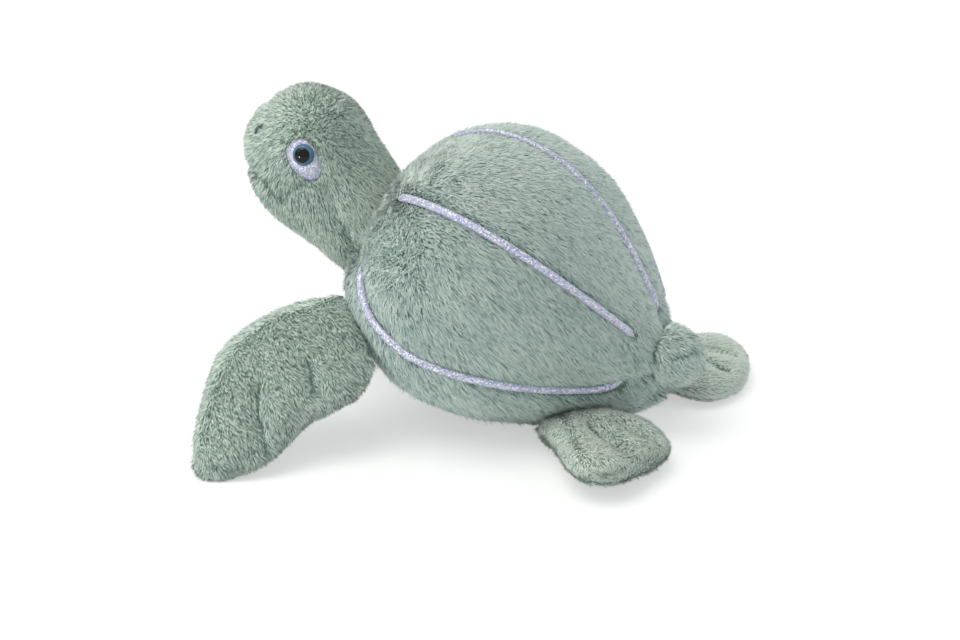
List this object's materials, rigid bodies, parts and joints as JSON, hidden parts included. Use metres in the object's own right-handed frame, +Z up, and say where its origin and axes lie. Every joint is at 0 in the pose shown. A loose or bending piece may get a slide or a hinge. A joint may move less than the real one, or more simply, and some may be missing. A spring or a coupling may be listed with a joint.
{
  "type": "plush turtle",
  "caption": "Stuffed sea turtle lying on its belly with raised head, domed shell with glitter piping, broad flippers on sewn seams, plastic eyes and a stub tail.",
  "frame": {"origin": "centre of the toy's bounding box at floor level, below the belly", "axes": "+Z up, head towards -Y, the turtle's left side towards +X, across the front flippers"},
  "size_m": [0.309, 0.2874, 0.1803],
  "materials": {
    "pile_cloth": "long sage-green pile, swept to the rear",
    "glitter_cloth": "lilac-silver cloth with fine glitter",
    "fibre_fill": "white fibre fill",
    "piping_cord": "soft filler cord",
    "eye_iris": "glossy steel blue",
    "eye_pupil": "glossy black",
    "eye_washer": "plain moulded",
    "satin_thread": "dark satin stitches"
  },
  "bodies": {
    "turtle": {"shell_left_upper_panel": "pile_cloth", "shell_left_side_panel": "pile_cloth", "shell_right_upper_panel": "pile_cloth", "shell_right_side_panel": "pile_cloth", "belly_panel": "pile_cloth", "body_stuffing": "fibre_fill", "ridge_piping": "glitter_cloth", "ridge_piping_cord": "piping_cord", "left_middle_piping": "glitter_cloth", "left_middle_piping_cord": "piping_cord", "right_middle_piping": "glitter_cloth", "right_middle_piping_cord": "piping_cord", "left_lower_piping": "glitter_cloth", "left_lower_piping_cord": "piping_cord", "right_lower_piping": "glitter_cloth", "right_lower_piping_cord": "piping_cord", "head_left_panel": "pile_cloth", "head_right_panel": "pile_cloth", "throat_panel": "pile_cloth", "head_stuffing": "fibre_fill", "left_eye_patch": "glitter_cloth", "left_eye": "eye_iris", "left_eye_pupil": "eye_pupil", "left_eye_washer": "eye_washer", "left_nostril": "satin_thread", "right_eye_patch": "glitter_cloth", "right_eye": "eye_iris", "right_eye_pupil": "eye_pupil", "right_eye_washer": "eye_washer", "right_nostril": "satin_thread", "tail_panel": "pile_cloth", "tail_stuffing": "fibre_fill"},
    "front_left_flipper": {"front_left_flipper_upper_panel": "pile_cloth", "front_left_flipper_lower_panel": "pile_cloth", "front_left_flipper_stuffing": "fibre_fill"},
    "front_right_flipper": {"front_right_flipper_upper_panel": "pile_cloth", "front_right_flipper_lower_panel": "pile_cloth", "front_right_flipper_stuffing": "fibre_fill"},
    "rear_left_flipper": {"rear_left_flipper_upper_panel": "pile_cloth", "rear_left_flipper_lower_panel": "pile_cloth", "rear_left_flipper_stuffing": "fibre_fill"},
    "rear_right_flipper": {"rear_right_flipper_upper_panel": "pile_cloth", "rear_right_flipper_lower_panel": "pile_cloth", "rear_right_flipper_stuffing": "fibre_fill"}
  },
  "joints": [
    {"name": "front_left_flipper_seam", "type": "hinge", "parent": "turtle", "child": "front_left_flipper", "pos_m": [0.06904, -0.04422, 0.06199], "axis": [-0.5577, -0.6276, 0.5433], "range_deg": [-30, 60], "stiffness_Nm_per_rad": 0.4},
    {"name": "front_right_flipper_seam", "type": "hinge", "parent": "turtle", "child": "front_right_flipper", "pos_m": [-0.06904, -0.04422, 0.06199], "axis": [-0.5577, 0.6276, -0.5433], "range_deg": [-30, 60], "stiffness_Nm_per_rad": 0.4},
    {"name": "rear_left_flipper_seam", "type": "hinge", "parent": "turtle", "child": "rear_left_flipper", "pos_m": [0.03591, 0.06568, 0.00734], "axis": [0.4982, -0.8665, 0.0306], "range_deg": [-25, 20], "stiffness_Nm_per_rad": 0.4},
    {"name": "rear_right_flipper_seam", "type": "hinge", "parent": "turtle", "child": "rear_right_flipper", "pos_m": [-0.04809, 0.07027, 0.01899], "axis": [0.6198, 0.7796, -0.0898], "range_deg": [-25, 20], "stiffness_Nm_per_rad": 0.4}
  ]
}
